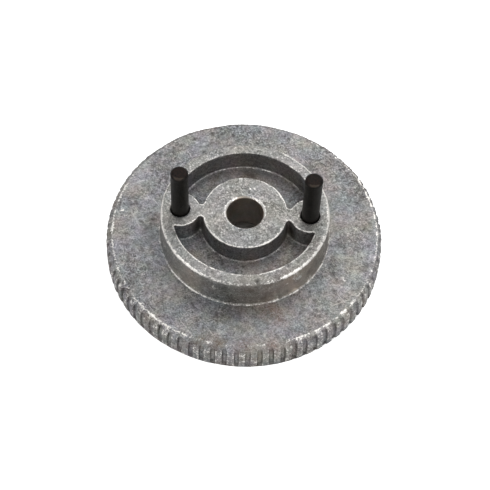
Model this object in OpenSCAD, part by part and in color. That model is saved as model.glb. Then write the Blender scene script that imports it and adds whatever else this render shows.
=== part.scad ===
// Clutch flywheel for a small two-stroke model car engine.
// Origin: axis of the bore, in the plane of the back face. +Z points from the engine to the clutch.
// The two clutch pins stand on the X axis.

/* [Disc] */
// Diameter over the rim serrations
disc_d = 40; // [36:0.5:56]
// Thickness from the back face to the front face
disc_t = 3.9; // [3:0.1:7]
// Round on the front corner of the rim
rim_round = 1.2; // [0.4:0.1:2]
// Bevel on the back corner of the rim
rim_bevel = 0.3; // [0.1:0.1:0.8]

/* [Serrations] */
// Number of serrations round the rim
serrations = 76; // [48:4:84]
// Depth of each groove
groove_depth = 0.38; // [0.1:0.02:0.6]
// Width of a groove at its mouth
groove_mouth_w = 0.72; // [0.4:0.02:0.9]
// Width of a groove at its floor
groove_floor_w = 0.4; // [0.1:0.02:0.5]
// Angle from the X axis to the middle of the first serration
serration_turn = 1.87; // [0:0.01:4]

/* [Clutch ring] */
// Height of the ring, hub and pin bosses above the front face of the disc
ring_h = 5; // [3.5:0.1:8]
// Thickness of the ring's wall
ring_wall = 1.67; // [1:0.05:3]
// Fillet where the ring meets the disc
ring_fillet = 0.35; // [0.1:0.05:1]
// Bevel on the outer top edge of the ring
ring_bevel = 0.2; // [0.05:0.05:0.5]
// Depth of the pocket inside the ring
pocket_depth = 3.15; // [1:0.05:4.5]

/* [Hub] */
// Diameter of the hub
hub_d = 12; // [9:0.5:15]
// Bore for the crankshaft
bore_d = 5.2; // [3.2:0.1:6.5]
// Bevel at the front of the bore
bore_bevel = 0.25; // [0.1:0.05:0.5]
// Diameter of the conical collet seat at the back face
seat_mouth_d = 8.2; // [7:0.1:10]
// Depth of the conical collet seat
seat_depth = 2.5; // [1.5:0.1:3.5]

/* [Clutch pins] */
// Diameter of the circle that the pins stand on
pin_circle_d = 18.44; // [16:0.01:23]
// Diameter of a pin's free end
pin_d = 2.5; // [2:0.1:3]
// Height of a pin above the ring's top
pin_reach = 8.8; // [5:0.1:14]
// Bevel round the top of a pin
pin_bevel = 0.27; // [0.1:0.01:0.5]
// Radial step from a pin's free end to its pressed shank
shank_step = 0.17; // [0.16:0.01:0.4]
// Length of the pressed shank
shank_len = 7; // [4:0.1:7.5]
// Depth of the shank's shoulder below the ring's top
shoulder_sink = 0.1; // [0.1:0.05:0.2]

/* [Pin bosses] */
// Metal round a pin's hole
boss_wall = 1.43; // [0.8:0.01:2]
// Gap from a pin's axis to the inner wall of the ring
pin_to_ring = 1.11; // [0.5:0.01:2]
// Width of the neck that ties a boss to the hub
neck_w = 2.05; // [1:0.05:3]
// Bevel at the mouth of a pin's hole
hole_bevel = 0.1; // [0.05:0.05:0.3]

/* [Back] */
// Width of the flat land along the rim
land_w = 4.5; // [2:0.1:6]
// Metal round the collet seat
seat_wall = 2.4; // [1:0.1:4]
// Depth of the hollow between them
hollow_depth = 1; // [0.4:0.1:1.6]
// Slope of the hollow's walls, as their width in plan
hollow_draft = 0.4; // [0.1:0.1:1]

/* [Hidden] */
$fn = 96;
// How far a cutter passes the face that it opens
over = 1;
disc_r = disc_d / 2;
bore_r = bore_d / 2;
hub_r = hub_d / 2;
top_z = disc_t + ring_h;
pocket_z = top_z - pocket_depth;
pin_r = pin_d / 2;
shank_r = pin_r + shank_step;
pin_x = pin_circle_d / 2;
boss_r = shank_r + boss_wall;
ring_bore_r = pin_x + pin_to_ring;
ring_r = ring_bore_r + ring_wall;
shoulder_z = top_z - shoulder_sink;
shank_foot_z = shoulder_z - shank_len;
pin_top_z = top_z + pin_reach;
seat_mouth_r = seat_mouth_d / 2;
hollow_in_r = seat_mouth_r + seat_wall;
hollow_out_r = disc_r - land_w;

// Outline of the disc: a circle with a trapezoidal groove between each pair of serrations
module serrated_outline() {
    pitch = 360 / serrations;
    difference() {
        circle(disc_r);
        for (i = [0 : serrations - 1])
            rotate(serration_turn + (i + 0.5) * pitch)
                polygon([
                    [disc_r - groove_depth, -groove_floor_w / 2],
                    [disc_r - groove_depth, groove_floor_w / 2],
                    [disc_r, groove_mouth_w / 2],
                    [disc_r + over, groove_mouth_w / 2],
                    [disc_r + over, -groove_mouth_w / 2],
                    [disc_r, -groove_mouth_w / 2]
                ]);
    }
}

// What the front round takes off the rim, in section
module rim_round_section() {
    difference() {
        translate([disc_r - rim_round, disc_t - rim_round])
            square(rim_round + over);
        translate([disc_r - rim_round, disc_t - rim_round])
            circle(rim_round);
    }
}

// What the back bevel takes off the rim, in section
module rim_bevel_section() {
    polygon([
        [disc_r - rim_bevel, 0],
        [disc_r - rim_bevel, -over],
        [disc_r + over, -over],
        [disc_r + over, rim_bevel],
        [disc_r, rim_bevel]
    ]);
}

module serrated_disc() {
    difference() {
        linear_extrude(disc_t)
            serrated_outline();
        rotate_extrude()
            rim_round_section();
        rotate_extrude()
            rim_bevel_section();
    }
}

// Solid blank of the ring, with its top bevel and the fillet at its foot
module ring_blank() {
    rotate_extrude()
        difference() {
            polygon([
                [0, disc_t - over],
                [ring_r + ring_fillet, disc_t - over],
                [ring_r + ring_fillet, disc_t],
                [ring_r, disc_t + ring_fillet],
                [ring_r, top_z - ring_bevel],
                [ring_r - ring_bevel, top_z],
                [0, top_z]
            ]);
            translate([ring_r + ring_fillet, disc_t + ring_fillet])
                circle(ring_fillet);
        }
}

// Plan of the pocket: the ring's inside, less the hub, the two bosses and their necks
module pocket_plan() {
    difference() {
        circle(ring_bore_r);
        circle(hub_r);
        for (side = [-1, 1]) {
            translate([side * pin_x, 0])
                circle(boss_r);
            translate([side * pin_x / 2, 0])
                square([pin_x, neck_w], center = true);
        }
    }
}

module pocket() {
    translate([0, 0, pocket_z])
        linear_extrude(pocket_depth + over)
            pocket_plan();
}

// Bore with its front bevel and the conical seat at the back
module bore_and_seat() {
    rotate_extrude()
        polygon([
            [0, -over],
            [seat_mouth_r, -over],
            [seat_mouth_r, 0],
            [bore_r, seat_depth],
            [bore_r, top_z - bore_bevel],
            [bore_r + bore_bevel, top_z],
            [bore_r + bore_bevel, top_z + over],
            [0, top_z + over]
        ]);
}

// Shallow ring-shaped hollow in the back face
module back_hollow() {
    rotate_extrude()
        polygon([
            [hollow_in_r, -over],
            [hollow_in_r, 0],
            [hollow_in_r + hollow_draft, hollow_depth],
            [hollow_out_r - hollow_draft, hollow_depth],
            [hollow_out_r, 0],
            [hollow_out_r, -over]
        ]);
}

module pin_hole() {
    rotate_extrude()
        polygon([
            [0, -over],
            [shank_r, -over],
            [shank_r, top_z - hole_bevel],
            [shank_r + hole_bevel, top_z],
            [shank_r + hole_bevel, top_z + over],
            [0, top_z + over]
        ]);
}

module flywheel_casting() {
    color("darkgray")
        difference() {
            union() {
                serrated_disc();
                ring_blank();
            }
            pocket();
            bore_and_seat();
            back_hollow();
            for (side = [-1, 1])
                translate([side * pin_x, 0, 0])
                    pin_hole();
        }
}

// Stepped steel pin: pressed shank below, free end above, both ends bevelled
module clutch_pin() {
    rotate_extrude()
        polygon([
            [0, shank_foot_z],
            [shank_r - pin_bevel, shank_foot_z],
            [shank_r, shank_foot_z + pin_bevel],
            [shank_r, shoulder_z],
            [pin_r, shoulder_z],
            [pin_r, pin_top_z - pin_bevel],
            [pin_r - pin_bevel, pin_top_z],
            [0, pin_top_z]
        ]);
}

module clutch_pin_left() {
    color("dimgray")
        translate([-pin_x, 0, 0])
            clutch_pin();
}

module clutch_pin_right() {
    color("dimgray")
        translate([pin_x, 0, 0])
            clutch_pin();
}

flywheel_casting();
clutch_pin_left();
clutch_pin_right();
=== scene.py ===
import math

import bmesh
import bpy
import numpy as np
from mathutils import Matrix, Vector
from mathutils.geometry import delaunay_2d_cdt


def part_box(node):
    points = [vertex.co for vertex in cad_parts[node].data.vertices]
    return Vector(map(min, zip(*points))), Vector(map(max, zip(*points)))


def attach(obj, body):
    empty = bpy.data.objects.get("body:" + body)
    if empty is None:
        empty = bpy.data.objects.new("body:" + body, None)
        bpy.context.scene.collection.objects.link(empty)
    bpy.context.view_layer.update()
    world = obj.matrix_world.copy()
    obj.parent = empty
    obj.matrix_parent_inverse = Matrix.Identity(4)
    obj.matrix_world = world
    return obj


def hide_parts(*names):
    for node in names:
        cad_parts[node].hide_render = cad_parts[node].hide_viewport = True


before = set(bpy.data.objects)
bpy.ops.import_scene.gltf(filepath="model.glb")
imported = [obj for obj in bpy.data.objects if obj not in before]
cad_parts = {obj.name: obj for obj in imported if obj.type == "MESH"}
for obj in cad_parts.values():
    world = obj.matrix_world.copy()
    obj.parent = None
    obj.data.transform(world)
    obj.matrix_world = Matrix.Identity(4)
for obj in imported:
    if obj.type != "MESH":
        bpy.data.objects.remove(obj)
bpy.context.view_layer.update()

# Sizes are in millimetres, and MM turns them into the scene's metres.
MM = 0.001
TURN = 2 * math.pi
QUARTER = math.pi / 2


def node_box(node):
    """Lowest and highest corner of a frame node, in millimetres."""
    return [np.array(corner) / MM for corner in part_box(node)]


def node_reach(node):
    """Largest distance of a frame node's surface from the Z axis, in millimetres."""
    points = np.array([v.co[:2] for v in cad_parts[node].data.vertices])
    return float(np.hypot(points[:, 0], points[:, 1]).max()) / MM


# ---------------------------------------------------------------------------
# Sizes
# ---------------------------------------------------------------------------

pin_low, pin_high = node_box("clutch_pin_right")

RIM_R = node_reach("flywheel_casting")
TOP_Z = node_box("flywheel_casting")[1][2]
PIN_X = (pin_low[0] + pin_high[0]) / 2
SHANK_R = (pin_high[0] - pin_low[0]) / 2
PIN_TOP_Z = pin_high[2]
PIN_FOOT_Z = pin_low[2]

DISC_Z = 3.9
FLOOR_Z = 5.75
RING_R = 12.0
RING_BORE_R = 10.33
HUB_R = 6.0
BORE_R = 2.6
BORE_BEVEL = 0.25
BOSS_R = 2.85
HOLE_R = 1.36
NECK_W = 2.05
PIN_R = 1.25
SEAT_R = 4.1
SEAT_DEPTH = 2.5
HOLLOW_Z = 1.0
HOLLOW_OUT_R = 15.5
HOLLOW_IN_R = 6.5
PIN_BEVEL = 0.27
# Depth of a pin's shoulder below the ring's top
SHOULDER_SINK = 0.3

# Rounds, drafts and fillets of the casting
RING_ROUND = 0.45
RING_DRAFT = 0.12
FOOT_FILLET = 0.16
MOUTH_ROUND = 0.13
POCKET_DRAFT = 0.14
POCKET_FILLET = 0.25
CORNER_FILLET = 0.16
LEAST_FILLET = 0.08
# Rim: usual radius of its crest, and heights of its rounded shoulder and foot
CREST_R = 19.0
RIM_ROUND_H = 1.45
RIM_FOOT_H = 0.3

# Serrations
TEETH = 76
FIRST_TOOTH = math.radians(1.87)
GROOVE_DEPTH = 0.36
# What a groove's top end may add to its depth
GROOVE_TOP_SINK = 0.3

# Spacing of the loose points in the flat faces
TOP_GRID = 0.22
DISC_GRID = 0.24
BACK_GRID = 0.5

# Unevenness round the casting: rows of an angle in degrees from the X axis and the value there

# Rim: radius of its crest, and width of the round at its foot, in millimetres
CREST_RADIUS = [
    (-180, 19.0), (-118, 19.0), (-100, 18.8), (-82, 18.65), (-68, 18.85), (-52, 19.0),
    (-35, 19.15), (-10, 19.2), (20, 19.25), (32, 19.35), (50, 19.15), (90, 19.05),
]
FOOT_ROUND = [
    (-180, 0.05), (-142, 0), (-122, 0.1), (-90, 0.1), (-68, 0), (30, 0), (90, 0.1),
]
# Rim: part of a groove's depth that is left at the foot, and of what its top end may add
FOOT_CUT = [
    (-180, 0.4), (-142, 0.6), (-122, 0.15), (-72, 0.15), (-52, 0.7), (-36, 1.0), (25, 1.0),
    (60, 0.5), (100, 0.2),
]
TOP_SINK = [
    (-180, 0.4), (-150, 1.0), (-20, 1.0), (20, 0.8), (45, 0.5), (70, 0.0), (140, 0.0),
    (170, 0.15),
]
# Rim: wear of its crest with painted highlights, coarseness of its skin, grime with painted
# shade in the grooves, and painted shade at their low ends
CREST_WEAR_AND_HIGHLIGHT = [
    (-180, 0.7), (-165, 0.65), (-150, 0.45), (-141, 0.5), (-130, 1.0), (-116, 0.85),
    (-104, 0.5), (-90, 0.2), (-76, 0.35), (-62, 0.75), (-48, 0.9), (-35, 0.65), (-15, 0.4),
    (20, 0.8), (50, 0.45), (90, 0.1), (125, 0.25), (150, 0.6),
]
RIM_GRAIN = [
    (-180, 0.6), (-130, 0.8), (-90, 1.0), (-60, 1.3), (-40, 1.7), (0, 2.0), (30, 1.6),
    (70, 0.6),
]
GROOVE_GRIME_AND_SHADE = [
    (-180, 0.7), (-140, 0.75), (-120, 0.7), (-100, 0.6), (-80, 0.35), (-60, 0.4),
    (-40, 0.35), (-20, 0.25), (90, 0.6),
]
LOW_END_SHADE = [
    (-180, 0.7), (-130, 0.8), (-80, 0.75), (-60, 1.0), (-20, 1.0), (30, 0.6),
]
# Ring: wear and painted highlight on its top edge and on the lip at its foot, and painted
# shade and painted sheen on its wall
RING_WEAR_AND_HIGHLIGHT = [
    (-180, 0.95), (-165, 0.9), (-145, 0.7), (-125, 1.1), (-109, 0.4), (-92, 0.35),
    (-76, 0.3), (-64, 0.6), (-55, 1.1), (-35, 1.0), (-15, 0.9), (10, 1.1), (40, 1.5),
    (60, 1.2), (76, 0.2), (94, 0.45), (112, 0.1), (150, 0.6),
]
LIP_WEAR_AND_HIGHLIGHT = [
    (-180, 0.3), (-165, 0.35), (-145, 0.25), (-125, 1.5), (-108, 0.55), (-90, 0.35),
    (-75, 0.4), (-55, 0.7), (-35, 0.45), (-15, 0.5), (10, 0.25), (90, 0.2),
]
WALL_SHADE = [
    (-180, 0.1), (-145, 0.12), (-125, 0.0), (-106, 0.22), (-90, 0.26), (-76, 0.18),
    (-56, 0.0), (-36, 0.1), (-15, 0.05), (90, 0.2),
]
WALL_SHEEN = [
    (-180, 0), (-138, 0.1), (-125, 0.5), (-108, 0), (-78, 0.05), (-64, 0.55), (-52, 0.95),
    (-38, 0.45), (-20, 0.1), (0, 0),
]
# Pockets: wear and painted highlight on their mouths along the ring and along the hub, and
# grime with painted shade on their floors
RING_MOUTH_WEAR_AND_HIGHLIGHT = [
    (-180, 0.8), (-120, 0.8), (-90, 0.6), (-60, 0.85), (0, 0.8), (50, 0.5), (75, 0.2),
    (105, 0.25), (130, 0.5),
]
HUB_MOUTH_WEAR_AND_HIGHLIGHT = [
    (-180, 0.7), (-155, 1.25), (-120, 1.2), (-98, 0.45), (-78, 0.7), (-50, 1.2),
    (-20, 0.6), (15, 1.0), (36, 1.4), (60, 0.8), (90, 0.5), (120, 0.55), (150, 1.1),
]
FLOOR_GRIME_AND_SHADE = [
    (-165, 0.45), (-135, 0.32), (-105, 0.2), (-75, 0.12), (-45, 0.2), (0, 0.3), (45, 0.25),
    (90, 0.22), (120, 0.3), (150, 0.5),
]
# Wear and painted highlight on the bore's mouth, and the painted highlight at the front of
# the top bevel of each pin
BORE_WEAR_AND_HIGHLIGHT = [
    (-180, 1.2), (-140, 1.1), (-90, 0.75), (-50, 0.65), (0, 1.1), (45, 1.3), (70, 0.7),
    (100, 0.2), (125, 0.45), (150, 1.1),
]
PIN_BEVEL_HIGHLIGHT = [
    (-180, 0.2), (-130, 0.6), (-100, 1.1), (-70, 0.9), (-40, 0.4), (0, 0.15), (90, 0.1),
]


# ---------------------------------------------------------------------------
# Building a closed surface from patches
# ---------------------------------------------------------------------------

# What each point of a surface carries, from 0 to 1
MARKS = ("wear", "grime", "tooled", "rubbed", "stain")


class Shell:
    """One closed surface, gathered patch by patch: its points, its faces, and for each
    point its wear and painted highlight, its grime and painted shade, its tooling and painted
    sheen, and how rubbed and stained it is."""

    def __init__(self):
        self.points = []
        self.marks = {mark: [] for mark in MARKS}
        self.quads = []
        self.triangles = []
        self.count = 0

    def add(self, points, **marks):
        """Adds a grid of points with their marks, each 0 unless it is given, and returns the
        grid of their indices."""
        shape = points.shape[:-1]
        self.points.append(points.reshape(-1, 3))
        for mark in MARKS:
            self.marks[mark].append(np.broadcast_to(marks.get(mark, 0.0), shape).ravel())
        first = self.count
        self.count += int(np.prod(shape))
        return np.arange(first, self.count).reshape(shape)

    def band(self, rows):
        """Quads between each closed row of indices and the next one."""
        rows = np.asarray(rows)
        a, b = rows[:-1], rows[1:]
        c, d = np.roll(b, -1, 1), np.roll(a, -1, 1)
        self.quads.append(np.stack([a, b, c, d], -1).reshape(-1, 4))

    def fill(self, loops, z, spacing, rng, **marks):
        """Flat patch at height z between closed loops, the first of them outside: a
        hexagonal field of loose points, joined to the loops by a Delaunay triangulation."""
        known = np.concatenate(self.points)
        rims = [known[loop][:, :2] for loop in loops]
        low, high = rims[0].min(0), rims[0].max(0)
        row_step = spacing * 0.866
        x, y = np.meshgrid(
            np.arange(low[0], high[0], spacing), np.arange(low[1], high[1], row_step)
        )
        x = x + np.where(np.arange(len(x)) % 2, spacing / 2, 0)[:, None]
        field = np.stack([x.ravel(), y.ravel()], 1)
        field += rng.uniform(-0.18, 0.18, field.shape) * spacing
        field = field[inside(field, rims)]
        field = field[distance_to(field, np.concatenate(rims)) > spacing * 0.6]
        new = self.add(np.column_stack([field, np.full(len(field), z)]), **marks)
        index = np.concatenate(loops + [new])
        flat = np.concatenate(rims + [field])
        edges, first = [], 0
        for rim in rims:
            k = np.arange(len(rim))
            edges.append(np.stack([k, np.roll(k, -1)], 1) + first)
            first += len(rim)
        edges = np.concatenate(edges).tolist()
        out = delaunay_2d_cdt([Vector(p) for p in flat.tolist()], edges, [], 0, 1e-6)
        places = np.array([tuple(v) for v in out[0]])
        source = np.array([o[0] for o in out[3]])
        faces = np.array([f for f in out[2] if len(f) == 3])
        keep = inside(places[faces].mean(1), rims)
        self.triangles.append(index[source[faces[keep]]])

    def arrays(self):
        """All points, all marks by name, all quads and all triangles."""
        marks = {mark: np.concatenate(parts) for mark, parts in self.marks.items()}
        points, quads, triangles = (
            np.concatenate(parts) for parts in (self.points, self.quads, self.triangles)
        )
        return points, marks, quads, triangles


def inside(points, rims):
    """True for points inside the region that closed outlines bound, by the even-odd rule:
    a ray along +X crosses the outlines an odd number of times."""
    odd = np.zeros(len(points), bool)
    for rim in rims:
        a, b = rim, np.roll(rim, -1, 0)
        for part in np.array_split(np.arange(len(points)), max(1, len(points) // 2000)):
            px, py = points[part, 0][:, None], points[part, 1][:, None]
            spans = (a[:, 1] > py) != (b[:, 1] > py)
            slope = (b[:, 0] - a[:, 0]) / np.where(b[:, 1] == a[:, 1], 1, b[:, 1] - a[:, 1])
            hit = spans & (px < a[:, 0] + (py - a[:, 1]) * slope)
            odd[part] ^= hit.sum(1) % 2 == 1
    return odd


def distance_to(points, targets):
    """Distance from each point to the nearest of the targets, in the plane."""
    out = np.empty(len(points))
    for part in np.array_split(np.arange(len(points)), max(1, len(points) // 2000)):
        gap = points[part][:, None] - targets[None]
        out[part] = np.sqrt((gap**2).sum(-1).min(1))
    return out


def column_angles(columns):
    """Angles of a turned grid's columns, evenly round the Z axis from +X."""
    return TURN * np.arange(columns) / columns


def revolved(profile, columns, centre=(0.0, 0.0)):
    """Grid of points: each (r, z) of the profile is turned once round an axis along Z."""
    r, z = np.asarray(profile)[:, :2].T
    a = column_angles(columns)
    x = centre[0] + np.outer(r, np.cos(a))
    y = centre[1] + np.outer(r, np.sin(a))
    return np.stack([x, y, np.broadcast_to(z[:, None], x.shape)], -1)


def arc(centre, radius, start, end, count):
    """Points at centre + radius * (cos t, sin t) with t going evenly from start to end."""
    t = np.linspace(start, end, count)
    return np.stack([centre[0] + radius * np.cos(t), centre[1] + radius * np.sin(t)], 1)


def around(angle, table):
    """Value at an angle: a straight line between the table's neighbouring entries."""
    places, values = np.array(table).T
    return np.interp(np.degrees(angle), places, values, period=360)


def smooth(value, low, high):
    """Smooth step from 0 at low to 1 at high."""
    t = np.clip((value - low) / (high - low), 0, 1)
    return t * t * (3 - 2 * t)


def waves(points, length, seed):
    """Smooth random relief between about -1 and 1: the mean of plane sine waves in random
    directions, whose wavelengths spread by a third about the given one."""
    rng = np.random.default_rng(seed)
    count = 22
    way = rng.normal(size=(count, 3))
    way /= np.linalg.norm(way, axis=1)[:, None]
    way *= (TURN / (length * rng.uniform(0.7, 1.35, count)))[:, None]
    phase = rng.uniform(0, TURN, count)
    return np.sin(points @ way.T + phase).sum(1) * (1.6 / math.sqrt(count))


def mesh_object(name, points, marks, quads, triangles):
    """Mesh object in metres at the origin, smooth, with outward faces and its marks stored
    as point attributes."""
    loops = np.concatenate([quads.ravel(), triangles.ravel()]).astype(np.int32)
    sizes = np.concatenate([np.full(len(quads), 4), np.full(len(triangles), 3)])
    starts = np.concatenate([[0], np.cumsum(sizes)[:-1]])
    mesh = bpy.data.meshes.new(name)
    mesh.vertices.add(len(points))
    mesh.vertices.foreach_set("co", (points * MM).astype(np.float32).ravel())
    mesh.loops.add(len(loops))
    mesh.loops.foreach_set("vertex_index", loops)
    mesh.polygons.add(len(sizes))
    mesh.polygons.foreach_set("loop_start", starts.astype(np.int32))
    mesh.update(calc_edges=True)
    mesh.validate()
    for mark, values in marks.items():
        attribute = mesh.attributes.new(mark, "FLOAT", "POINT")
        attribute.data.foreach_set("value", values.astype(np.float32))
    built = bmesh.new()
    built.from_mesh(mesh)
    bmesh.ops.recalc_face_normals(built, faces=built.faces)
    built.to_mesh(mesh)
    built.free()
    mesh.polygons.foreach_set("use_smooth", np.ones(len(mesh.polygons), bool))
    mesh.update()
    piece = bpy.data.objects.new(name, mesh)
    bpy.context.scene.collection.objects.link(piece)
    return piece


# ---------------------------------------------------------------------------
# The casting
# ---------------------------------------------------------------------------

def meeting(from_axis, from_pin):
    """Point at given distances from the bore's axis and from the right pin's axis, on the
    +Y side, where two circles cross."""
    x = (from_axis**2 - from_pin**2 + PIN_X**2) / (2 * PIN_X)
    return np.array([x, math.sqrt(from_axis**2 - x**2)])


def slot_end_radius():
    """Radius of the slot's round end, which touches the hub, the boss and the neck: the
    root of the quadratic that the three tangencies give."""
    k = (HUB_R - BOSS_R) / PIN_X
    x0 = (PIN_X**2 + HUB_R**2 - BOSS_R**2) / (2 * PIN_X)
    b = 2 * x0 * k + NECK_W - 2 * HUB_R
    c = x0**2 + NECK_W**2 / 4 - HUB_R**2
    return (-b - math.sqrt(b * b - 4 * k * k * c)) / (2 * k * k)


def pocket_outline(inset):
    """Closed outline of the +Y pocket, moved into the pocket by inset. The right half runs
    from the hub round the slot's end, the boss and the corner to the ring, each arc
    tangent to the next, and the left half is its mirror image."""
    pin = np.array([PIN_X, 0.0])
    slot = max(slot_end_radius() - inset, LEAST_FILLET)
    corner = max(CORNER_FILLET - inset, LEAST_FILLET)
    hub, boss, ring = HUB_R + inset, BOSS_R + inset, RING_BORE_R - inset
    slot_at = meeting(hub + slot, boss + slot)
    corner_at = meeting(ring - corner, boss + corner)
    hub_a = math.atan2(slot_at[1], slot_at[0])
    ring_a = math.atan2(corner_at[1], corner_at[0])
    slot_to_pin = math.atan2(*(pin - slot_at)[::-1]) + TURN
    boss_from = math.atan2(*(slot_at - pin)[::-1])
    boss_to = math.atan2(*(corner_at - pin)[::-1])
    corner_from = boss_to + math.pi
    right = np.concatenate([
        arc((0, 0), hub, QUARTER, hub_a, 44)[:-1],
        arc(slot_at, slot, hub_a + math.pi, slot_to_pin, 13)[:-1],
        arc(pin, boss, boss_from, boss_to, 18)[:-1],
        arc(corner_at, corner, corner_from, ring_a + TURN, 9)[:-1],
        arc((0, 0), ring, ring_a, QUARTER, 70),
    ])
    left = right[1:-1][::-1] * [-1, 1]
    return np.concatenate([right, left])


def pocket(shell, side, rng):
    """One pocket, at +Y for side 1 and at -Y for side -1: rounded mouth, drafted wall and
    filleted foot as a stack of outlines, and a flat floor. Returns the mouth's loop."""
    t = np.linspace(0, QUARTER, 5)
    foot_z = FLOOR_Z + POCKET_FILLET
    lip_z = TOP_Z - MOUTH_ROUND
    wall = np.linspace(0, 1, 9)[1:-1]
    insets = np.concatenate([
        [-MOUTH_ROUND - 0.08],
        -MOUTH_ROUND * (1 - np.sin(t)),
        POCKET_DRAFT * wall,
        POCKET_DRAFT + POCKET_FILLET * (1 - np.cos(t)),
    ])
    heights = np.concatenate([
        [TOP_Z],
        TOP_Z - MOUTH_ROUND * (1 - np.cos(t)),
        lip_z + (foot_z - lip_z) * wall,
        foot_z - POCKET_FILLET * np.sin(t),
    ])
    wear = np.concatenate([[0.4, 0.9, 1, 1, 0.8, 0.3], wall * 0, [0, 0, 0.05, 0.27, 0.15]])
    # painted shade: darker down the wall and most in the fillet at the floor
    grime = np.concatenate([[0], t * 0, 0.1 + 0.15 * wall, [0.35, 0.4, 0.3, 0.15, 0.15]])
    outlines = np.stack([pocket_outline(i) for i in insets]) * side
    z = np.broadcast_to(heights[:, None, None], outlines.shape[:2] + (1,))
    raised = np.where(heights > TOP_Z - 0.1, 1.0, 0.0)[:, None]
    x, y = outlines[0].T
    at = np.arctan2(y, x)
    by_hub = np.hypot(x, y) < HUB_R + 0.6
    uneven = np.where(by_hub, around(at, HUB_MOUTH_WEAR_AND_HIGHLIGHT), around(at, RING_MOUTH_WEAR_AND_HIGHLIGHT))
    wear = wear[:, None] * np.where(heights[:, None] > FLOOR_Z + 1, uneven, 1.0)
    rows = shell.add(np.concatenate([outlines, z], -1), wear=wear, grime=grime[:, None],
                     rubbed=raised)
    shell.band(rows)
    shell.fill([rows[-1]], FLOOR_Z, DISC_GRID, rng, grime=0.15)
    return rows[0]


def ring_wall(shell):
    """Outside of the ring: rounded top edge, drafted wall, fillet, and the narrow lip at
    its foot. Returns the loops of its top and its foot."""
    t = np.linspace(0, QUARTER, 7)
    fall = np.linspace(0, 1, 12)[1:]
    foot_r = RING_R + RING_DRAFT
    lip_z = DISC_Z + 0.05
    top = np.stack([
        RING_R - RING_ROUND * (1 - np.sin(t)), TOP_Z - RING_ROUND * (1 - np.cos(t))
    ], 1)
    wall = np.stack([
        RING_R + RING_DRAFT * fall,
        TOP_Z - RING_ROUND + (lip_z + FOOT_FILLET - TOP_Z + RING_ROUND) * fall,
    ], 1)
    fillet = np.stack([
        foot_r + FOOT_FILLET * (1 - np.cos(t[1:])),
        lip_z + FOOT_FILLET * (1 - np.sin(t[1:])),
    ], 1)
    lip = np.array([[foot_r + 0.21, lip_z - 0.005], [foot_r + 0.26, DISC_Z],
                    [foot_r + 0.4, DISC_Z]])
    profile = np.concatenate([top, wall, fillet, lip])
    # wear on the top edge, and a painted highlight along the fillet and the lip at the foot
    wear = np.concatenate([
        [0.1, 0.4, 0.85, 1.05, 1.05, 0.8, 0.35], 0.1 * (fall < 0.1), [0, 0, 0, 0.1, 0.4, 0.9],
        [1, 0.6, 0],
    ])
    # painted shade: darker down the wall towards its foot and in the fillet
    grime = np.concatenate([
        t * 0, 0.03 + 0.2 * fall**4, [0.3, 0.3, 0.2, 0.1, 0, 0], [0, 0, 0.1],
    ])
    columns = 420
    turn = column_angles(columns)
    high_up = profile[:, 1:] > FLOOR_Z
    wear = wear[:, None] * np.where(high_up, around(turn, RING_WEAR_AND_HIGHLIGHT), around(turn, LIP_WEAR_AND_HIGHLIGHT))
    on_wall = smooth(profile[:, 1:], TOP_Z - 0.3, TOP_Z - 0.9) * (profile[:, 1:] > DISC_Z + 0.1)
    # painted shade on the wall, set by angle and darkest at the front
    grime = np.maximum(grime[:, None], on_wall * around(turn, WALL_SHADE))
    # painted sheen: the wall is laid on lighter at its front sides, where light falls
    painted_sheen = on_wall * around(turn, WALL_SHEEN)
    raised = np.where(profile[:, 1:] > DISC_Z, 1.0, 0.0)
    rows = shell.add(revolved(profile, columns), wear=wear, grime=grime, tooled=painted_sheen,
                     rubbed=raised)
    shell.band(rows)
    return rows[0], rows[-1]


# Half a groove and half the land beside it: millimetres from the groove's middle, part of
# the groove's depth, wear with painted highlight, and grime with painted shade
GROOVE_SECTION = np.array([
    [0.08, 0.93, 0.1, 0.0],
    [0.21, 1.0, 0.0, 0.2],
    [0.29, 0.72, 0.0, 0.9],
    [0.36, 0.25, 0.2, 0.75],
    [0.44, 0.03, 0.45, 0.1],
    [0.57, 0.0, 0.32, 0.0],
    [0.74, 0.0, 0.25, 0.0],
])


def rim_rows():
    """Rows of the rim's grid, from the flat face over the crest and the rounded shoulder,
    down the wall and round the foot to the back. For each row: how far it is from the crest
    (0) to the tip circle (1), or how many millimetres inside the crest where below 0; how
    much of the foot's round it loses; its height; and its part of the crest's wear and painted
    highlight."""
    shoulder = np.radians([7, 14, 21, 29, 38, 48, 59, 73, 90])
    drop = np.array([0.15, 0.3, 0.45, 0.6, 0.75, 0.88, 0.94, 1.0])
    foot = np.linspace(0, QUARTER, 4)[1:]
    wall_z = DISC_Z - RIM_ROUND_H
    outward = np.concatenate([
        [-0.45, -0.16, 0], np.sin(shoulder), np.ones(len(drop) + len(foot) + 1)
    ])
    trim = np.concatenate([
        np.zeros(3 + len(shoulder) + len(drop)), 1 - np.cos(foot), [2.2]
    ])
    z = np.concatenate([
        [DISC_Z, DISC_Z, DISC_Z - 0.012],
        wall_z + RIM_ROUND_H * np.cos(shoulder),
        wall_z + (RIM_FOOT_H - wall_z) * drop,
        RIM_FOOT_H * (1 - np.sin(foot)),
        [0.0],
    ])
    over_crest = np.interp(np.degrees(shoulder), [0, 8, 16, 24, 90], [1, 0.85, 0.5, 0.25, 0.1])
    crest = np.concatenate([[0.0, 0.3, 1.0], over_crest, drop * 0, [0.2, 0.3, 0.1, 0.0]])
    return [row[:, None, None] for row in (outward, trim, z, crest)]


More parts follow.
